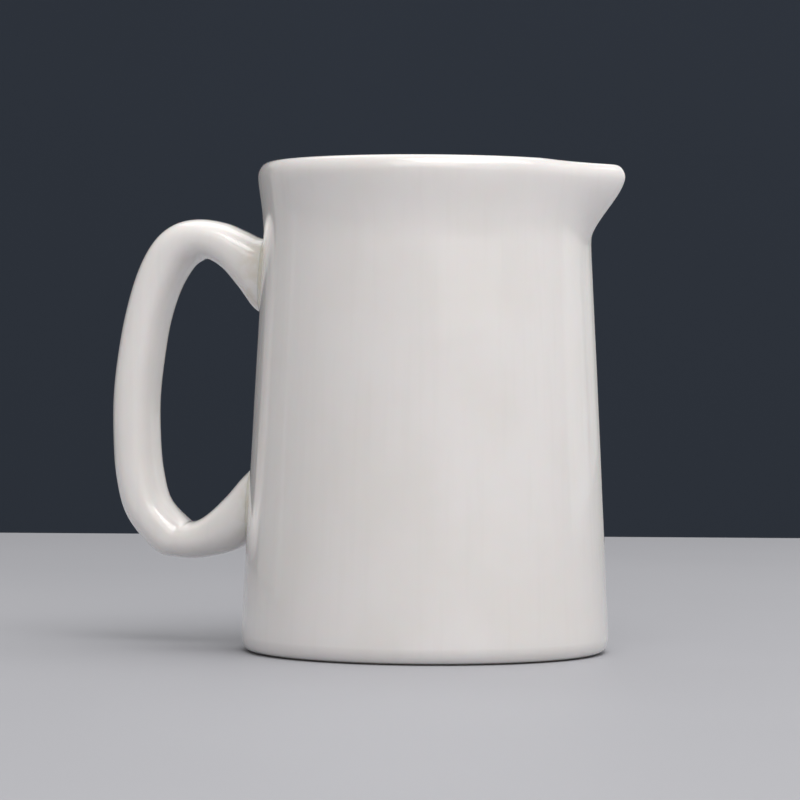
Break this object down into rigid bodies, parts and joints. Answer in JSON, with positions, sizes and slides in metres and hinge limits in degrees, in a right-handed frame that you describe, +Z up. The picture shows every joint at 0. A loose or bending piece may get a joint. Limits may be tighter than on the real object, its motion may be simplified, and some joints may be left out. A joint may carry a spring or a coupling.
{
  "type": "cream jug",
  "caption": "Small tapered porcelain jug with a thick rolled rim, a pinched pouring lip and an ear-shaped handle opposite it; it stands on a ring foot.",
  "frame": {"origin": "centre of the foot ring's resting face, on the axis of the jug's body", "axes": "+Z up along the body's axis; +X towards the pouring lip, with the handle on the -X side; +Y across the jug"},
  "size_m": [0.1093, 0.0756, 0.1],
  "materials": {
    "glazed_porcelain": "gloss",
    "glazed_slip": "gloss",
    "biscuit": "matte"
  },
  "bodies": {
    "root": {"body": "glazed_porcelain", "foot_ring": "biscuit", "handle": "glazed_porcelain", "upper_slip_joint": "glazed_slip", "lower_slip_joint": "glazed_slip"}
  },
  "joints": []
}
